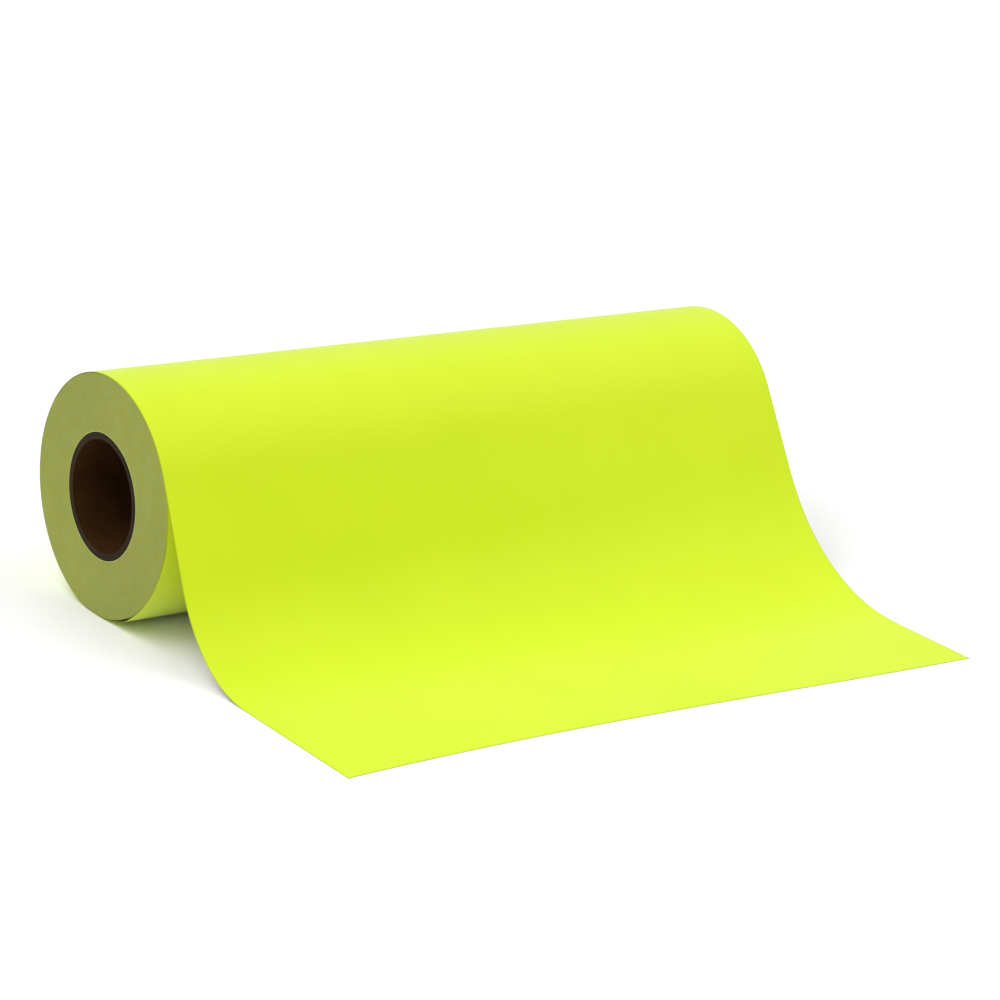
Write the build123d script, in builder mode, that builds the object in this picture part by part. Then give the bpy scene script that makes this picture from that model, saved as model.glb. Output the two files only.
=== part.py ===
from build123d import *
import os
from math import acos, cos, degrees, radians, sin

os.makedirs("parts", exist_ok=True)

# A roll of self-adhesive sign vinyl, in millimetres. The web is a thin plastic film on a paper
# liner, wound film side out on a spiral-wound paper core. Its free end comes over the top of the
# roll, drops down the front and lies flat on the table.
# The origin is the centre of the core's bore. +X runs along the roll, the web pays out towards
# -Y, and +Z is up, so the table is at Z = -rest_height.

# The web: what is wound
web_width = 508.0  # 20 in
film_thickness = 0.10  # 0.075 film and 0.025 adhesive coat
liner_thickness = 0.18  # silicone-coated kraft paper
web_thickness = film_thickness + liner_thickness

# The core: plies of tube board glued one over the other
bore_radius = 38.1  # 3 in bore
ply_thickness = 0.5
ply_count = 9
core_radius = bore_radius + ply_count * ply_thickness

# The strip of tape that holds the web's inner end to the core
tape_thickness = 0.12
tape_angle = 34.0  # 25 mm of the core's circumference

# The roll
roll_radius = 82.0  # over the outermost turn
turn_clearance = 0.3  # between the outermost turn and the turns wound under it
pack_radius = roll_radius - web_thickness - turn_clearance
rest_flattening = 0.1  # the roll's weight flattens its lowest line this much
rest_height = roll_radius - rest_flattening  # of the roll's axis over the table

# The drape: where the web leaves the roll, and the bend in which it meets the table
leave_angle = 61.0  # from the top of the roll, towards the front
tuck_angle = 75.0  # where the outermost turn ends under the drape, from the top
bend_radius = 103.0  # to the film's top face
flat_reach = 300.0  # from the roll's axis to the cut edge
fixed_flat = 10.0  # flat web that stays with the drape

flat_top_z = web_thickness - rest_height
leave_direction = (-sin(radians(leave_angle)), cos(radians(leave_angle)))
bend_z = flat_top_z + bend_radius
bend_y = (roll_radius + bend_radius - bend_z * leave_direction[1]) / leave_direction[0]
tail_y = bend_y - fixed_flat
tail_length = flat_reach + tail_y

left_end = Plane.YZ.offset(-web_width / 2)


def web_face(depth):
    """Draw one face of the outermost turn and the drape, at a depth under the film's top face.

    It runs from the flat end back to the tucked end, whose points it returns. The turn is two
    arcs with a narrow flat between them, which the roll rests on.
    """
    across_y, across_z = leave_direction
    flat = Line((tail_y, flat_top_z - depth), (bend_y, flat_top_z - depth))
    bend = CenterArc((bend_y, bend_z), bend_radius + depth, -90, leave_angle)
    leave_point = ((roll_radius - depth) * across_y, (roll_radius - depth) * across_z)
    Line(bend @ 1, leave_point)
    radius = roll_radius - depth
    rest_angle = degrees(acos((rest_height - depth) / radius))
    back_turn = CenterArc((0, 0), radius, 90 + leave_angle, rest_angle - leave_angle - 180)
    front_turn = CenterArc((0, 0), radius, -90 - rest_angle, tuck_angle + rest_angle - 180)
    Line(back_turn @ 1, front_turn @ 0)
    return flat @ 0, front_turn @ 1


def web_layer(top_depth, bottom_depth):
    """Draw the closed outline of one layer of the outermost turn and the drape."""
    top_flat_end, top_tucked_end = web_face(top_depth)
    bottom_flat_end, bottom_tucked_end = web_face(bottom_depth)
    Line(top_flat_end, bottom_flat_end)
    Line(top_tucked_end, bottom_tucked_end)


# Core plies, from the bore outwards
ply_names = ["core_inner_ply"]
ply_names += [f"core_body_ply_{number}" for number in range(1, ply_count - 1)]
ply_names += ["core_outer_ply"]
for number, ply_name in enumerate(ply_names):
    inner_radius = bore_radius + number * ply_thickness
    with BuildPart() as core_ply:
        with BuildSketch(left_end):
            Circle(inner_radius + ply_thickness)
            Circle(inner_radius, mode=Mode.SUBTRACT)
        extrude(amount=web_width)
    core_ply.part.label = ply_name
    export_step(core_ply.part, f"parts/{ply_name}.step")

# Tape across the core's full width, under the web's inner end
with BuildPart() as core_start_tape:
    with BuildSketch(left_end):
        with BuildLine():
            tape_inner = CenterArc((0, 0), core_radius, 90, tape_angle)
            tape_outer = CenterArc((0, 0), core_radius + tape_thickness, 90, tape_angle)
            Line(tape_inner @ 0, tape_outer @ 0)
            Line(tape_inner @ 1, tape_outer @ 1)
        make_face()
    extrude(amount=web_width)
core_start_tape.part.label = "core_start_tape"
export_step(core_start_tape.part, "parts/core_start_tape.step")

# All the turns under the outermost one: film and liner pressed together with no gaps
with BuildPart() as wound_pack:
    with BuildSketch(left_end):
        Circle(pack_radius)
        Circle(core_radius, mode=Mode.SUBTRACT)
        with BuildLine():
            seat_inner = CenterArc((0, 0), core_radius, 90, tape_angle)
            seat_outer = CenterArc((0, 0), core_radius + tape_thickness, 90, tape_angle)
            Line(seat_inner @ 0, seat_outer @ 0)
            Line(seat_inner @ 1, seat_outer @ 1)
        make_face(mode=Mode.SUBTRACT)
    extrude(amount=web_width)
wound_pack.part.label = "wound_pack"
export_step(wound_pack.part, "parts/wound_pack.step")

# Outermost turn and drape: the film outside, the liner against the roll and the table
with BuildPart() as drape_film:
    with BuildSketch(left_end):
        with BuildLine():
            web_layer(0, film_thickness)
        make_face()
    extrude(amount=web_width)
drape_film.part.label = "drape_film"
export_step(drape_film.part, "parts/drape_film.step")

with BuildPart() as drape_liner:
    with BuildSketch(left_end):
        with BuildLine():
            web_layer(film_thickness, web_thickness)
        make_face()
    extrude(amount=web_width)
drape_liner.part.label = "drape_liner"
export_step(drape_liner.part, "parts/drape_liner.step")

# Flat tail with the cut edge, which moves out as the roll turns
with BuildPart() as tail_film:
    with BuildSketch(left_end):
        with Locations((tail_y, flat_top_z)):
            Rectangle(tail_length, film_thickness, align=(Align.MAX, Align.MAX))
    extrude(amount=web_width)
tail_film.part.label = "tail_film"
export_step(tail_film.part, "parts/tail_film.step")

with BuildPart() as tail_liner:
    with BuildSketch(left_end):
        with Locations((tail_y, flat_top_z - film_thickness)):
            Rectangle(tail_length, liner_thickness, align=(Align.MAX, Align.MAX))
    extrude(amount=web_width)
tail_liner.part.label = "tail_liner"
export_step(tail_liner.part, "parts/tail_liner.step")
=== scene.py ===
from math import cos, pi, radians, sin

import bmesh
import bpy
import numpy as np
from mathutils import Matrix, Vector


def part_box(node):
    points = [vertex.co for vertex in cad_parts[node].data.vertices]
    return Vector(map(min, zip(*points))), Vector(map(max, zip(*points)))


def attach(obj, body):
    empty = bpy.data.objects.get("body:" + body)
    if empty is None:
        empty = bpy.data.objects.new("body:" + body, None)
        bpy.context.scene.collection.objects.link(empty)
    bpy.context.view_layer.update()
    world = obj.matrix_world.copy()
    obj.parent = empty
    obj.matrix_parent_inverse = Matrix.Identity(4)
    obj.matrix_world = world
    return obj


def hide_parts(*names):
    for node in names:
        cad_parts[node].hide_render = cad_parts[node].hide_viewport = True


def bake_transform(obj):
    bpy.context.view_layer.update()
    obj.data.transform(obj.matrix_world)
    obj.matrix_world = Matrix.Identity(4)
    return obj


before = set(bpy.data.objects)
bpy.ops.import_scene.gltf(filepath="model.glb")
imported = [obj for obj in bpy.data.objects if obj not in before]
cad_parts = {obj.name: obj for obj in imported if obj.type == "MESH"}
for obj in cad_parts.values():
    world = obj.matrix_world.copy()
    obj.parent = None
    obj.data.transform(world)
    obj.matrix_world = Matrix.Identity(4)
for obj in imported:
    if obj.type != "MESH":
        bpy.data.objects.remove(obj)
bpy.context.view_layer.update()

# ---------------------------------------------------------------------------
# Sizes in metres. The ones that CAD decides come from the frame.
# ---------------------------------------------------------------------------
HALF_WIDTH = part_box("drape_film")[1].x
ROLL_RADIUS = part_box("drape_film")[1].z
TABLE_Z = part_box("tail_liner")[0].z
FLAT_TOP_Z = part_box("tail_film")[1].z
FLAT_REACH_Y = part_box("tail_film")[0].y
FILM_THICKNESS = 0.00010
WEB_THICKNESS = FLAT_TOP_Z - TABLE_Z

BORE_RADIUS = 0.0381
PLY_THICKNESS = 0.0005
PLY_NODES = ["core_inner_ply"]
PLY_NODES += [f"core_body_ply_{number}" for number in range(1, 8)]
PLY_NODES += ["core_outer_ply"]
CORE_RADIUS = BORE_RADIUS + PLY_THICKNESS * len(PLY_NODES)

SHARP_ANGLE = radians(35)


# ---------------------------------------------------------------------------
# Mesh helpers
# ---------------------------------------------------------------------------
def smoothstep(value, low, high):
    """0 below low, 1 above high, and smooth between them."""
    share = np.clip((value - low) / (high - low), 0.0, 1.0)
    return share * share * (3.0 - 2.0 * share)


def grid_quads(rows, columns, first=0, close_rows=False, close_columns=False):
    """Vertex numbers of the quads of a grid of points."""
    row = np.arange(rows if close_rows else rows - 1)
    column = np.arange(columns if close_columns else columns - 1)
    row, column = np.meshgrid(row, column, indexing="ij")
    next_row = (row + 1) % rows
    next_column = (column + 1) % columns
    corners = [
        row * columns + column,
        row * columns + next_column,
        next_row * columns + next_column,
        next_row * columns + column,
    ]
    return np.stack(corners, axis=-1).reshape(-1, 4) + first


def rim_quads(border, other):
    """Quads between a row of vertices and the matching row under it."""
    border, other = np.asarray(border), np.asarray(other)
    return np.stack([border[:-1], border[1:], other[1:], other[:-1]], axis=-1)


def make_piece(name, points, quads, materials):
    """A closed mesh object with its faces turned outwards."""
    mesh = bpy.data.meshes.new(name)
    mesh.from_pydata(np.asarray(points).reshape(-1, 3).tolist(), [], np.asarray(quads).tolist())
    shape = bmesh.new()
    shape.from_mesh(mesh)
    bmesh.ops.recalc_face_normals(shape, faces=shape.faces)
    shape.to_mesh(mesh)
    shape.free()
    mesh.shade_smooth()
    mesh.set_sharp_from_angle(angle=SHARP_ANGLE)
    for material in materials:
        mesh.materials.append(material)
    piece = bpy.data.objects.new(name, mesh)
    bpy.context.scene.collection.objects.link(piece)
    return piece


def make_slab(name, top, bottom, materials):
    """A closed solid between two matching open grids of points. A second material is its rim's."""
    rows, columns = top.shape[:2]
    count = rows * columns
    number = np.arange(count).reshape(rows, columns)
    quads = [grid_quads(rows, columns), grid_quads(rows, columns, first=count)[:, ::-1]]
    for border in (number[0], number[-1], number[:, 0], number[:, -1]):
        quads.append(rim_quads(border, border + count))
    points = np.concatenate([top.reshape(-1, 3), bottom.reshape(-1, 3)])
    piece = make_piece(name, points, np.concatenate(quads), materials)
    if len(materials) > 1:
        rim_start = 2 * (rows - 1) * (columns - 1)
        for face in piece.data.polygons[rim_start:]:
            face.material_index = 1
    return piece


# ---------------------------------------------------------------------------
# Material helpers
# ---------------------------------------------------------------------------
class Nodes:
    """A short way to add and link shader nodes."""

    def __init__(self, tree):
        self.tree = tree

    def add(self, kind, inputs=None, **settings):
        node = self.tree.nodes.new(kind)
        for name, value in settings.items():
            setattr(node, name, value)
        for name, value in (inputs or {}).items():
            if isinstance(value, bpy.types.NodeSocket):
                self.tree.links.new(value, node.inputs[name])
            else:
                node.inputs[name].default_value = value
        return node

    def math(self, operation, first, second=0.0):
        return self.add("ShaderNodeMath", {0: first, 1: second}, operation=operation).outputs[0]

    def noise(self, coordinates, scale, detail=2.0, stretch=(1, 1, 1)):
        """Noise from 0 to 1, with features of about 1 / scale metres."""
        mapping = self.add("ShaderNodeMapping", {"Vector": coordinates, "Scale": stretch})
        settings = {"Vector": mapping.outputs[0], "Scale": scale, "Detail": detail}
        return self.add("ShaderNodeTexNoise", settings).outputs["Fac"]

    def spread(self, value, low, high, to_low=0.0, to_high=1.0):
        """Map low..high to to_low..to_high, and clamp."""
        settings = {
            "Value": value,
            "From Min": low,
            "From Max": high,
            "To Min": to_low,
            "To Max": to_high,
        }
        return self.add("ShaderNodeMapRange", settings).outputs["Result"]

    def mix(self, share, first, second):
        """Mix two colours. The numbers are the colour sockets' places on the node."""
        settings = {0: share, 6: first, 7: second}
        return self.add("ShaderNodeMix", settings, data_type="RGBA").outputs[2]

    def blotches(self, pattern, first, second):
        """Two colours, from the first to the second as the pattern rises."""
        return self.mix(self.spread(pattern, 0.3, 0.7), first, second)

    def stain(self, colour, pattern, low, high, share, tint):
        """Mix a tint into a colour where the pattern is high, by no more than the share."""
        return self.mix(self.spread(pattern, low, high, 0.0, share), colour, tint)

    def distance_from_edge(self):
        """The distance to an edge that mark_edge_distance stores on a piece."""
        return self.add("ShaderNodeAttribute", attribute_name="from_edge").outputs["Fac"]

    def bump(self, height, distance, strength=1.0, normal=None):
        settings = {"Height": height, "Distance": distance, "Strength": strength}
        if normal is not None:
            settings["Normal"] = normal
        return self.add("ShaderNodeBump", settings).outputs[0]


def new_material(name, specular, sheen=0.0):
    """A material with a Principled shader, its nodes and the object coordinates."""
    material = bpy.data.materials.new(name)
    material.use_nodes = True
    nodes = Nodes(material.node_tree)
    shader = material.node_tree.nodes["Principled BSDF"]
    shader.inputs["Specular IOR Level"].default_value = specular
    shader.inputs["Sheen Weight"].default_value = sheen
    place = nodes.add("ShaderNodeTexCoord").outputs["Object"]
    return material, nodes, shader, place


def finish_material(nodes, shader, colour, roughness, normal):
    sockets = {"Base Color": colour, "Roughness": roughness, "Normal": normal}
    for name, value in sockets.items():
        nodes.tree.links.new(value, shader.inputs[name])


def film_material():
    """Satin calendered film: a fine grain, faint lines along the web, a few dull patches and
    painted shade along its edges.
    """
    material, nodes, shader, place = new_material("face_film", specular=0.20, sheen=0.23)
    patches = nodes.noise(place, 14.0, detail=3.0)
    lines = nodes.noise(place, 1.0, detail=2.0, stretch=(420.0, 3.0, 3.0))
    grain = nodes.noise(place, 900.0, detail=1.0)
    peel = nodes.noise(place, 260.0, detail=2.0)
    colour = nodes.blotches(patches, (0.648, 0.832, 0.0055, 1.0), (0.672, 0.856, 0.0085, 1.0))
    colour = nodes.stain(colour, lines, 0.35, 0.75, share=0.10, tint=(0.62, 0.79, 0.005, 1.0))
    # Painted shade: darker olive over the last millimetre before the film's slit and cut edges.
    painted_edge_shade = nodes.spread(nodes.distance_from_edge(), 0.0002, 0.0010, 0.6, 0.0)
    colour = nodes.mix(painted_edge_shade, colour, (0.48, 0.60, 0.006, 1.0))
    roughness = nodes.math(
        "ADD",
        nodes.spread(peel, 0.2, 0.8, 0.42, 0.50),
        nodes.spread(lines, 0.3, 0.8, 0.0, 0.04),
    )
    normal = nodes.bump(peel, 0.00002, strength=0.5)
    normal = nodes.bump(grain, 0.000006, strength=0.5, normal=normal)
    finish_material(nodes, shader, colour, roughness, normal)
    return material


def slit_edge_material():
    """The knife-cut rim of film and liner: film colour smeared over paper, worn here and there."""
    material, nodes, shader, place = new_material("slit_edge", specular=0.2)
    tone_mask = nodes.noise(place, 350.0, detail=3.0)
    wear = nodes.noise(place, 60.0, detail=4.0)
    colour = nodes.blotches(tone_mask, (0.290, 0.325, 0.018, 1.0), (0.370, 0.410, 0.032, 1.0))
    colour = nodes.stain(colour, wear, 0.55, 0.75, share=0.5, tint=(0.45, 0.48, 0.14, 1.0))
    roughness = nodes.spread(tone_mask, 0.2, 0.8, 0.60, 0.80)
    normal = nodes.bump(tone_mask, 0.00002, strength=0.5)
    finish_material(nodes, shader, colour, roughness, normal)
    return material


def liner_material():
    """White siliconed paper, with fibres that show faintly and painted shade, dark olive, along
    its left edge.
    """
    material, nodes, shader, place = new_material("release_liner", specular=0.35)
    fibres = nodes.noise(place, 1.0, detail=4.0, stretch=(300.0, 900.0, 900.0))
    clouds = nodes.noise(place, 60.0, detail=3.0)
    colour = nodes.blotches(clouds, (0.83, 0.78, 0.62, 1.0), (0.87, 0.82, 0.67, 1.0))
    colour = nodes.stain(colour, fibres, 0.55, 0.8, share=0.25, tint=(0.72, 0.66, 0.50, 1.0))
    # Painted shade: dark olive over the last few millimetres of the liner's left edge, along the
    # whole web.
    tone_mask = nodes.spread(nodes.distance_from_edge(), 0.0010, 0.0030, 1.0, 0.0)
    colour = nodes.mix(tone_mask, colour, (0.20, 0.23, 0.02, 1.0))
    roughness = nodes.spread(fibres, 0.2, 0.8, 0.38, 0.55)
    normal = nodes.bump(fibres, 0.00002, strength=0.5)
    finish_material(nodes, shader, colour, roughness, normal)
    return material


def wound_edge_material(turn_pitch):
    """Slit edges of the wound web: film and liner in turn, scuffed and dusty from slitting."""
    material, nodes, shader, place = new_material("wound_edge", specular=0.2)
    axes = nodes.add("ShaderNodeSeparateXYZ", {0: place})
    across_squared = nodes.math("MULTIPLY", axes.outputs["Y"], axes.outputs["Y"])
    up_squared = nodes.math("MULTIPLY", axes.outputs["Z"], axes.outputs["Z"])
    radius = nodes.math("SQRT", nodes.math("ADD", across_squared, up_squared))
    turns = nodes.math("DIVIDE", nodes.math("SUBTRACT", radius, CORE_RADIUS), turn_pitch)
    through_turn = nodes.math("FRACT", turns)
    from_middle = nodes.math("ABSOLUTE", nodes.math("SUBTRACT", through_turn, 0.5))
    liner_share = nodes.spread(from_middle, 0.22, 0.34)
    rings = nodes.add(
        "ShaderNodeTexNoise",
        {"W": radius, "Scale": 620.0, "Detail": 3.0},
        noise_dimensions="1D",
    ).outputs["Fac"]
    dust = nodes.noise(place, 95.0, detail=4.0)
    scuffs = nodes.noise(place, 30.0, detail=3.0)
    brownish = nodes.noise(place, 410.0, detail=3.0)
    greyish = nodes.noise(place, 290.0, detail=3.0)
    grit = nodes.noise(place, 1500.0, detail=2.0)
    colour = nodes.mix(liner_share, (0.282, 0.330, 0.038, 1.0), (0.322, 0.345, 0.070, 1.0))
    for pattern, low, high, share, tint in (
        (rings, 0.35, 0.65, 0.14, (0.260, 0.290, 0.055, 1.0)),
        (brownish, 0.46, 0.62, 0.45, (0.355, 0.315, 0.065, 1.0)),
        (greyish, 0.46, 0.62, 0.40, (0.270, 0.345, 0.130, 1.0)),
        (dust, 0.42, 0.72, 0.20, (0.40, 0.44, 0.14, 1.0)),
        (scuffs, 0.45, 0.75, 0.25, (0.240, 0.275, 0.055, 1.0)),
    ):
        colour = nodes.stain(colour, pattern, low, high, share, tint)
    inner_line = nodes.spread(radius, CORE_RADIUS + 0.0003, CORE_RADIUS + 0.0009, 0.75, 0.0)
    colour = nodes.mix(inner_line, colour, (0.55, 0.60, 0.18, 1.0))
    roughness = nodes.spread(dust, 0.2, 0.8, 0.55, 0.75)
    normal = nodes.bump(rings, 0.00005, strength=0.3)
    normal = nodes.bump(grit, 0.00002, strength=0.5, normal=normal)
    finish_material(nodes, shader, colour, roughness, normal)
    return material


def board_material(name, light, dark, speck):
    """Tube board: long fibres, clouds and darker specks."""
    material, nodes, shader, place = new_material(name, specular=0.06)
    fibres = nodes.noise(place, 1.0, detail=5.0, stretch=(260.0, 1100.0, 1100.0))
    clouds = nodes.noise(place, 45.0, detail=4.0)
    specks = nodes.noise(place, 1300.0, detail=1.0)
    colour = nodes.blotches(clouds, light, dark)
    colour = nodes.stain(colour, fibres, 0.5, 0.75, share=0.45, tint=dark)
    colour = nodes.stain(colour, specks, 0.66, 0.76, share=0.7, tint=speck)
    roughness = nodes.spread(fibres, 0.2, 0.8, 0.68, 0.88)
    normal = nodes.bump(fibres, 0.00004, strength=0.6)
    finish_material(nodes, shader, colour, roughness, normal)
    return material


def tape_material():
    """Crepe masking tape: short wrinkles across its length."""
    material, nodes, shader, place = new_material("start_tape", specular=0.25)
    crepe = nodes.noise(place, 1.0, detail=3.0, stretch=(700.0, 2200.0, 2200.0))
    clouds = nodes.noise(place, 150.0, detail=2.0)
    colour = nodes.blotches(crepe, (0.62, 0.52, 0.30, 1.0), (0.74, 0.64, 0.40, 1.0))
    colour = nodes.stain(colour, clouds, 0.4, 0.8, share=0.3, tint=(0.50, 0.42, 0.24, 1.0))
    roughness = nodes.spread(crepe, 0.2, 0.8, 0.6, 0.8)
    normal = nodes.bump(crepe, 0.00005, strength=0.7)
    finish_material(nodes, shader, colour, roughness, normal)
    return material


# ---------------------------------------------------------------------------
# The core: nine plies of tube board
# ---------------------------------------------------------------------------
CHAMFER = 0.00006
SEAM_GAP = 0.0008
SEAM_STEP = 2.4  # radians from one ply's seam to the next one's
SET_BACK_STEP = 0.00005  # the body plies' ends lie in by 0 to 3 of these steps
DARK_PLY = 4  # one ply of the wall is darker board than the others
STRIP_PITCH = 0.150  # a 127 mm strip wound at the angle that closes a tube this wide

# The meshes of a ply whose seam winds along the tube and of one whose seam runs straight
WINDING_STATIONS, WINDING_SEGMENTS = 244, 72
STRAIGHT_STATIONS, STRAIGHT_SEGMENTS = 2, 90


def ply_tube(name, number, stations, segments, pitch, end_set_back, materials):
    """One ply: a tube with an open seam between the strip's edges.

    The seam winds along the tube with the pitch, or runs straight if the pitch is None.
    """
    inner_radius = BORE_RADIUS + number * PLY_THICKNESS
    outer_radius = inner_radius + PLY_THICKNESS
    length = 2 * (HALF_WIDTH - end_set_back)
    along = np.concatenate([[0.0], np.linspace(CHAMFER, length - CHAMFER, stations), [length]])
    along = along - length / 2
    is_end = np.zeros(len(along))
    is_end[[0, -1]] = 1.0
    half_gap = SEAM_GAP / inner_radius / 2
    round_angle = np.linspace(half_gap, 2 * pi - half_gap, segments + 1)
    twist = np.zeros(len(along)) if pitch is None else 2 * pi * along / pitch
    angle = round_angle[None, :] + twist[:, None] + SEAM_STEP * number

    def tube(radius, chamfer):
        ring_radius = radius + chamfer * is_end
        points = np.empty(angle.shape + (3,))
        points[..., 0] = along[:, None]
        points[..., 1] = -ring_radius[:, None] * np.sin(angle)
        points[..., 2] = ring_radius[:, None] * np.cos(angle)
        return points

    return make_slab(name, tube(outer_radius, -CHAMFER), tube(inner_radius, CHAMFER), materials)


# ---------------------------------------------------------------------------
# The wound turns under the outermost one
# ---------------------------------------------------------------------------
PACK_INSET = 0.00003  # under the CAD pack's radius
PACK_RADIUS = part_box("wound_pack")[1].z - PACK_INSET
TURNS = 138
TURN_PITCH = (PACK_RADIUS - CORE_RADIUS) / TURNS
PACK_SEGMENTS = 120
WINDING_SEED = 20
GROOVE_DEPTH = 0.00006  # between one turn's ridge and the next one's
TURN_UNEVENNESS = 0.00003  # the most that a turn stands out or back by itself
RIPPLE_HEIGHT = 0.00006
RIPPLES = ((1.0, 0.0135), (0.6, 0.0058), (0.4, 0.0031))  # shares of the height, and wavelengths
LEAN_HEIGHT = 0.00003  # the turns lean out on one side of the roll and back on the other
LEAN_SWIRL = 5.0  # radians that the leaning side moves round by, from the core outwards
TAPE_SEAT = 0.00013  # room for the start tape under the first turn


def wound_turns(materials):
    """A thick ring whose ends show every turn of the web as a ridge, no two quite level."""
    draw = np.random.RandomState(WINDING_SEED)
    angle = np.linspace(0, 2 * pi, PACK_SEGMENTS, endpoint=False)
    radius = CORE_RADIUS + TURN_PITCH * np.arange(2 * TURNS + 1) / 2
    radius[0] += TAPE_SEAT

    def end_profile():
        level = np.repeat(draw.uniform(-1, 1, TURNS + 1), 2)[: 2 * TURNS + 1] * TURN_UNEVENNESS
        ripple = sum(
            share * np.sin(2 * pi * radius / wavelength + draw.uniform(0, 2 * pi))
            for share, wavelength in RIPPLES
        )
        groove = np.where(np.arange(2 * TURNS + 1) % 2 == 0, -GROOVE_DEPTH, 0.0)
        lean_angle = draw.uniform(0, 2 * pi)
        across = (radius - CORE_RADIUS) / (PACK_RADIUS - CORE_RADIUS)
        lean = LEAN_HEIGHT * np.cos(angle[None, :] - lean_angle - LEAN_SWIRL * across[:, None])
        return (level + groove + RIPPLE_HEIGHT * ripple)[:, None] + lean

    ends = [-HALF_WIDTH - end_profile(), HALF_WIDTH + end_profile()[::-1]]
    ring_radius = np.concatenate([radius, radius[::-1]])
    points = np.empty((len(ring_radius), PACK_SEGMENTS, 3))
    points[..., 0] = np.concatenate(ends)
    points[..., 1] = -ring_radius[:, None] * np.sin(angle)[None, :]
    points[..., 2] = ring_radius[:, None] * np.cos(angle)[None, :]
    quads = grid_quads(len(ring_radius), PACK_SEGMENTS, close_rows=True, close_columns=True)
    piece = make_piece("wound_turns", points, quads, materials)
    for face in piece.data.polygons:
        if abs(face.center.x) < HALF_WIDTH / 2:
            outside = face.center.yz.length > (CORE_RADIUS + PACK_RADIUS) / 2
            face.material_index = 1 if outside else 2
    return piece


# ---------------------------------------------------------------------------
# The outermost turn and the drape. Angles are from the top of the roll, towards the front.
# ---------------------------------------------------------------------------
LEFT_LEAVE, RIGHT_LEAVE = radians(64.06), radians(57.50)
LEFT_BEND, RIGHT_BEND = 0.0969, 0.1429  # length of the bend that meets the table
LEFT_EASE, RIGHT_EASE = 0.851, 0.863  # how the slope dies out along the bend
LANDING_REACH = 0.12  # the slope is averaged over this share of the bend to each side
FINE_STEP = 0.001  # of the bend's length
TUCK_ANGLE = radians(40)  # the tucked end, under the drape
TUCK_EASE = (radians(66), radians(112))  # where the turn climbs from under the drape
TUCK_CLEARANCE = 0.00002
LEAST_DOWNWARD_SHARE = 1e-6  # keeps the reach down to the table finite

# Where the loose outermost turn stands off the roll: the angle, spread and height of each bulge,
# and the length over which the bulges fade along the roll from that end
LEFT_BULGES = ((radians(153), radians(9), 0.0012), (radians(96), radians(14), 0.0008))
RIGHT_BULGES = ((radians(214), radians(20), 0.0007),)
LEFT_BULGE_FADE = 0.085
RIGHT_BULGE_FADE = 0.070

# The cut edge's place on the table, at five points across the web
CUT_X = np.array([-1.0, -0.62, -0.15, 0.48, 1.0])
CUT_Y = np.array([-0.0002, 0.0048, 0.0056, 0.0007, -0.0027]) + FLAT_REACH_Y
CUT_CURVE = np.polyfit(CUT_X, CUT_Y, len(CUT_X) - 1)

# The mesh has four close lines along each edge, and even rows and columns between the margins
EDGE_STEPS = np.array([0.0, 0.0003, 0.0009, 0.0022])
SLIT_MARGIN = 0.006
CUT_MARGIN = 0.004
EDGE_ROUNDING = 0.00005
EDGE_ROUNDING_REACH = 0.0009
FAR_FROM_CUT = 1.0  # stands for any distance that isn't worked out

# The liner stands out past the film's right edge near the cut corner. It starts at the first
# distance from the CAD web's cut edge and is full at the second.
LINER_OVERHANG = 0.0014
OVERHANG_START, OVERHANG_FULL = 0.045, 0.020
OVERHANG_WIDTH = 0.003  # of the strip that is drawn out

TURN_ROWS = 230
STRAIGHT_ROWS = 8
BEND_ROWS = 44
FLAT_ROWS = 44
WEB_COLUMNS = 60


def bell(value, middle, spread):
    """A smooth bump: 1 at the middle, and close to 0 two spreads away."""
    return np.exp(-(((value - middle) / spread) ** 2))


def slack(angle, x):
    """How far the loose outermost turn stands off the roll, at its two ends."""
    left = sum(bell(angle, middle, spread) * height for middle, spread, height in LEFT_BULGES)
    right = sum(bell(angle, middle, spread) * height for middle, spread, height in RIGHT_BULGES)
    left_fade = bell(x, -HALF_WIDTH, LEFT_BULGE_FADE)
    right_fade = bell(x, HALF_WIDTH, RIGHT_BULGE_FADE)
    return left * left_fade + right * right_fade


def landing_slope(leave, ease):
    """The slope along the bend, from the leaving angle to flat, with a moving average taken."""
    smoothing = round(LANDING_REACH / FINE_STEP)
    fine = np.arange(0, 1 + LANDING_REACH, FINE_STEP)
    slope = leave * np.clip(1 - fine, 0, 1) ** ease
    padded = np.pad(slope, smoothing, constant_values=(leave, 0.0))
    kernel = np.full(2 * smoothing + 1, 1 / (2 * smoothing + 1))
    return fine, np.convolve(padded, kernel, "valid")


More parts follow.
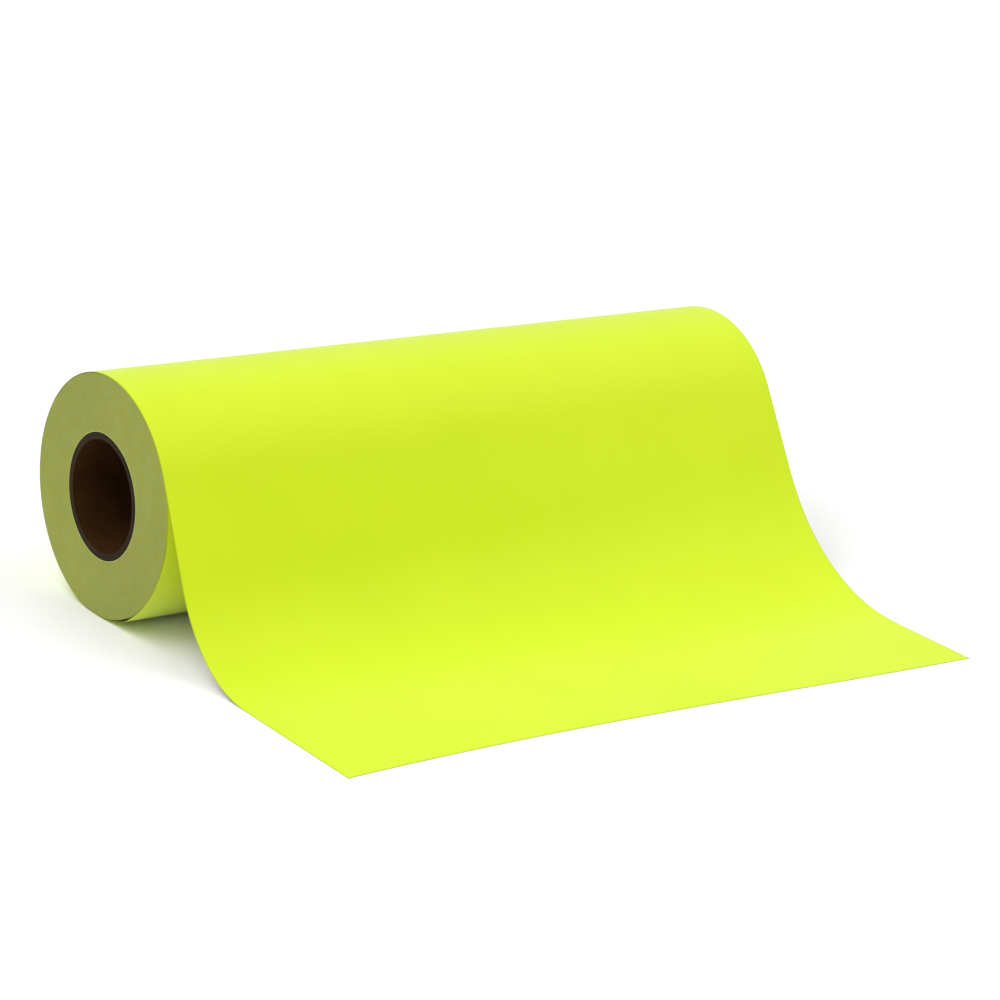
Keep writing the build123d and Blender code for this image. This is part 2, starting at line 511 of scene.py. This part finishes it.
def web_path(x):
    """The film's top face at one place across the web.

    Returns its points (y, z), its normals (y, z) and the distances to the cut edge.
    """
    share = (x + HALF_WIDTH) / (2 * HALF_WIDTH)
    leave = LEFT_LEAVE + (RIGHT_LEAVE - LEFT_LEAVE) * share
    bend_length = LEFT_BEND + (RIGHT_BEND - LEFT_BEND) * share
    ease = LEFT_EASE + (RIGHT_EASE - LEFT_EASE) * share

    angle = np.linspace(TUCK_ANGLE, 2 * pi + leave, TURN_ROWS)
    tucked_radius = ROLL_RADIUS - WEB_THICKNESS - TUCK_CLEARANCE
    radius = tucked_radius + (ROLL_RADIUS - tucked_radius) * smoothstep(angle, *TUCK_EASE)
    radius = radius + slack(angle, x)
    downward_share = np.maximum(-np.cos(angle), LEAST_DOWNWARD_SHARE)
    radius = np.minimum(radius, -TABLE_Z / downward_share)
    turn = np.stack([-radius * np.sin(angle), radius * np.cos(angle)], axis=-1)

    fine, slope = landing_slope(leave, ease)
    step = bend_length * (fine[1] - fine[0])
    step_slope = (slope[1:] + slope[:-1]) / 2
    bend_y = np.concatenate([[0], np.cumsum(np.cos(step_slope))]) * step
    bend_z = np.concatenate([[0], np.cumsum(np.sin(step_slope))]) * step
    straight = (turn[-1, 1] - FLAT_TOP_Z - bend_z[-1]) / sin(leave)

    along = np.linspace(0, straight, STRAIGHT_ROWS + 1)[1:]
    drop = np.stack([turn[-1, 0] - along * cos(leave), turn[-1, 1] - along * sin(leave)], axis=-1)
    pick = np.linspace(0, fine[-1], BEND_ROWS + 1)[1:]
    bend = np.stack(
        [drop[-1, 0] - np.interp(pick, fine, bend_y), drop[-1, 1] - np.interp(pick, fine, bend_z)],
        axis=-1,
    )
    flat_length = bend[-1, 0] - np.polyval(CUT_CURVE, x / HALF_WIDTH)
    reach = np.linspace(0, flat_length - CUT_MARGIN, FLAT_ROWS + 1)[1:]
    reach = np.concatenate([reach, flat_length - EDGE_STEPS[::-1]])
    flat = np.stack([bend[-1, 0] - reach, np.full(len(reach), FLAT_TOP_Z)], axis=-1)

    points = np.concatenate([turn, drop, bend, flat])
    turned = np.concatenate(
        [
            angle,
            np.full(len(along), leave),
            np.interp(pick, fine, slope),
            np.zeros(len(reach)),
        ]
    )
    normals = np.stack([-np.sin(turned), np.cos(turned)], axis=-1)
    before_flat = np.full(len(points) - len(reach), FAR_FROM_CUT)
    from_cut = np.concatenate([before_flat, flat_length - reach])
    return points, normals, from_cut


def web_grids():
    """Grids of the film's top face: points, normals, and the distance to the nearest cut edge."""
    inside = np.linspace(-HALF_WIDTH + SLIT_MARGIN, HALF_WIDTH - SLIT_MARGIN, WEB_COLUMNS)
    across = np.concatenate([EDGE_STEPS - HALF_WIDTH, inside, HALF_WIDTH - EDGE_STEPS[::-1]])
    points, normals, from_edge = [], [], []
    for x in across:
        column, column_normals, from_cut = web_path(x)
        points.append(np.insert(column, 0, x, axis=1))
        normals.append(np.insert(column_normals, 0, 0.0, axis=1))
        from_edge.append(np.minimum(from_cut, HALF_WIDTH - abs(x)))
    return np.stack(points, axis=1), np.stack(normals, axis=1), np.stack(from_edge, axis=1)


def mark_edge_distance(piece, distance):
    """Store how far each vertex is from an edge, for the material, on both faces of a slab."""
    values = piece.data.attributes.new("from_edge", "FLOAT", "POINT")
    values.data.foreach_set("value", np.tile(distance.ravel(), 2).astype(np.float32))


# ---------------------------------------------------------------------------
# Build the object
# ---------------------------------------------------------------------------
film = film_material()
liner = liner_material()
slit_edge = slit_edge_material()
wound_edge = wound_edge_material(TURN_PITCH)
bore_board = board_material(
    "core_liner_kraft",
    light=(0.056, 0.022, 0.0045, 1.0),
    dark=(0.030, 0.012, 0.0025, 1.0),
    speck=(0.016, 0.006, 0.0015, 1.0),
)
body_board = board_material(
    "core_kraft",
    light=(0.050, 0.036, 0.022, 1.0),
    dark=(0.028, 0.020, 0.012, 1.0),
    speck=(0.012, 0.009, 0.006, 1.0),
)
dark_board = board_material(
    "core_dark_wrap",
    light=(0.018, 0.016, 0.012, 1.0),
    dark=(0.010, 0.009, 0.007, 1.0),
    speck=(0.030, 0.026, 0.018, 1.0),
)
tape = tape_material()

for number, node in enumerate(PLY_NODES):
    if node == "core_inner_ply":
        settings = (WINDING_STATIONS, WINDING_SEGMENTS, STRIP_PITCH, 0.0)
        boards, slot = [bore_board, body_board], "core_liner_kraft"
    elif node == "core_outer_ply":
        settings = (STRAIGHT_STATIONS, STRAIGHT_SEGMENTS, None, 0.0)
        boards, slot = [dark_board], "core_dark_wrap"
    else:
        set_back = SET_BACK_STEP * ((number * 3) % 4)
        settings = (STRAIGHT_STATIONS, STRAIGHT_SEGMENTS, None, set_back)
        boards, slot = [dark_board if number == DARK_PLY else body_board], "core_kraft"
    ply = ply_tube(f"{node}_board", number, *settings, boards)
    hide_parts(node)
    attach(ply, "roll")

tape_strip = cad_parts["core_start_tape"]
tape_strip.data.materials.clear()
tape_strip.data.materials.append(tape)

turns = wound_turns([wound_edge, film, liner])
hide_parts("wound_pack")
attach(turns, "roll")

top, normals, from_edge = web_grids()
rounding = EDGE_ROUNDING * (1 - smoothstep(from_edge, 0.0, EDGE_ROUNDING_REACH))
film_top = top - rounding[..., None] * normals
joint_face = top - FILM_THICKNESS * normals
liner_bottom = top - WEB_THICKNESS * normals
web_film = make_slab("web_film", film_top, joint_face, [film, slit_edge])
mark_edge_distance(web_film, from_edge)

overhang = LINER_OVERHANG * smoothstep(
    -top[..., 1],
    -FLAT_REACH_Y - OVERHANG_START,
    -FLAT_REACH_Y - OVERHANG_FULL,
)
overhang = overhang * smoothstep(top[..., 0], HALF_WIDTH - OVERHANG_WIDTH, HALF_WIDTH)
joint_face[..., 0] += overhang
liner_bottom[..., 0] += overhang
web_liner = make_slab("web_liner", joint_face, liner_bottom, [liner, slit_edge])
# The liner's distance from its left edge, for its painted edge shade.
mark_edge_distance(web_liner, top[..., 0] + HALF_WIDTH)

for sheet, nodes, slot, under in (
    (web_film, ("drape_film", "tail_film"), "face_film", "web_liner"),
    (web_liner, ("drape_liner", "tail_liner"), "release_liner", "wound_turns"),
):
    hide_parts(*nodes)
    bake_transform(sheet)

# ---------------------------------------------------------------------------
# The studio: floor, light and camera
# ---------------------------------------------------------------------------
FLOOR_HALF = 30.0
FLOOR_GAP = 0.00003  # under the web, so that the two faces don't meet
floor_signs = ((-1, -1), (1, -1), (1, 1), (-1, 1))
floor_corners = [(FLOOR_HALF * x, FLOOR_HALF * y, TABLE_Z - FLOOR_GAP) for x, y in floor_signs]
floor_mesh = bpy.data.meshes.new("studio_floor")
floor_mesh.from_pydata(floor_corners, [], [(0, 1, 2, 3)])
floor = bpy.data.objects.new("studio_floor", floor_mesh)
bpy.context.scene.collection.objects.link(floor)
floor_material, _, floor_shader, _ = new_material("studio_floor", specular=0.1)
floor_shader.inputs["Base Color"].default_value = (0.935, 0.935, 0.935, 1.0)
floor_shader.inputs["Roughness"].default_value = 0.8
floor_mesh.materials.append(floor_material)

# The pale world is stronger where the camera or a mirrored ray sees it than it is as light
WORLD_LIGHT = 0.20
BACKDROP_LIGHT = 1.05
MIRRORED_LIGHT = 0.72
world = bpy.data.worlds.new("studio_world")
world.use_nodes = True
bpy.context.scene.world = world
world_nodes = Nodes(world.node_tree)
background = world.node_tree.nodes["Background"]
ray = world_nodes.add("ShaderNodeLightPath").outputs
strength = world_nodes.spread(ray["Is Camera Ray"], 0.0, 1.0, WORLD_LIGHT, BACKDROP_LIGHT)
mirrored = world_nodes.math("MULTIPLY", ray["Is Glossy Ray"], MIRRORED_LIGHT - WORLD_LIGHT)
strength = world_nodes.math("ADD", strength, mirrored)
world.node_tree.links.new(strength, background.inputs["Strength"])
background.inputs["Color"].default_value = (1.0, 1.0, 1.0, 1.0)

SOFTBOX_ANGLE = radians(45)


def softbox(name, azimuth, elevation, strength):
    """A large far light. Azimuth 0 is in front of the roll and 90 at its right end."""
    lamp = bpy.data.lights.new(name, "SUN")
    lamp.energy = strength * pi
    lamp.angle = SOFTBOX_ANGLE
    lamp_object = bpy.data.objects.new(name, lamp)
    bpy.context.scene.collection.objects.link(lamp_object)
    turn, rise = radians(azimuth), radians(elevation)
    back = Vector((sin(turn) * cos(rise), -cos(turn) * cos(rise), sin(rise)))
    lamp_object.rotation_euler = (-back).to_track_quat("-Z", "Y").to_euler()


softbox("left_softbox", azimuth=-90, elevation=60, strength=0.43)
softbox("front_left_softbox", azimuth=-45, elevation=30, strength=0.22)
softbox("front_right_softbox", azimuth=45, elevation=60, strength=0.21)
softbox("back_softbox", azimuth=180, elevation=60, strength=0.34)

CAMERA_TARGET = Vector((0.0413, -0.0426, -0.0250))
CAMERA_DISTANCE = 2.4473
CAMERA_TURN, CAMERA_TILT, CAMERA_ROLL = radians(37.95), radians(18.153), radians(5.411)
CAMERA_LENS = 126.76
SENSOR_WIDTH = 36.0

forward = Vector(
    (
        sin(CAMERA_TURN) * cos(CAMERA_TILT),
        cos(CAMERA_TURN) * cos(CAMERA_TILT),
        -sin(CAMERA_TILT),
    )
)
level_right = Vector((cos(CAMERA_TURN), -sin(CAMERA_TURN), 0.0))
level_up = level_right.cross(forward)
right = level_right * cos(CAMERA_ROLL) + level_up * sin(CAMERA_ROLL)
up = level_up * cos(CAMERA_ROLL) - level_right * sin(CAMERA_ROLL)
camera_data = bpy.data.cameras.new("photo_camera")
camera_data.lens = CAMERA_LENS
camera_data.sensor_width = SENSOR_WIDTH
camera_data.clip_start = 0.05
camera_data.clip_end = 100.0
camera = bpy.data.objects.new("photo_camera", camera_data)
bpy.context.scene.collection.objects.link(camera)
placing = Matrix((right, up, -forward)).transposed().to_4x4()
placing.translation = CAMERA_TARGET - forward * CAMERA_DISTANCE
camera.matrix_world = placing
bpy.context.scene.camera = camera
bpy.context.scene.view_settings.view_transform = "Standard"
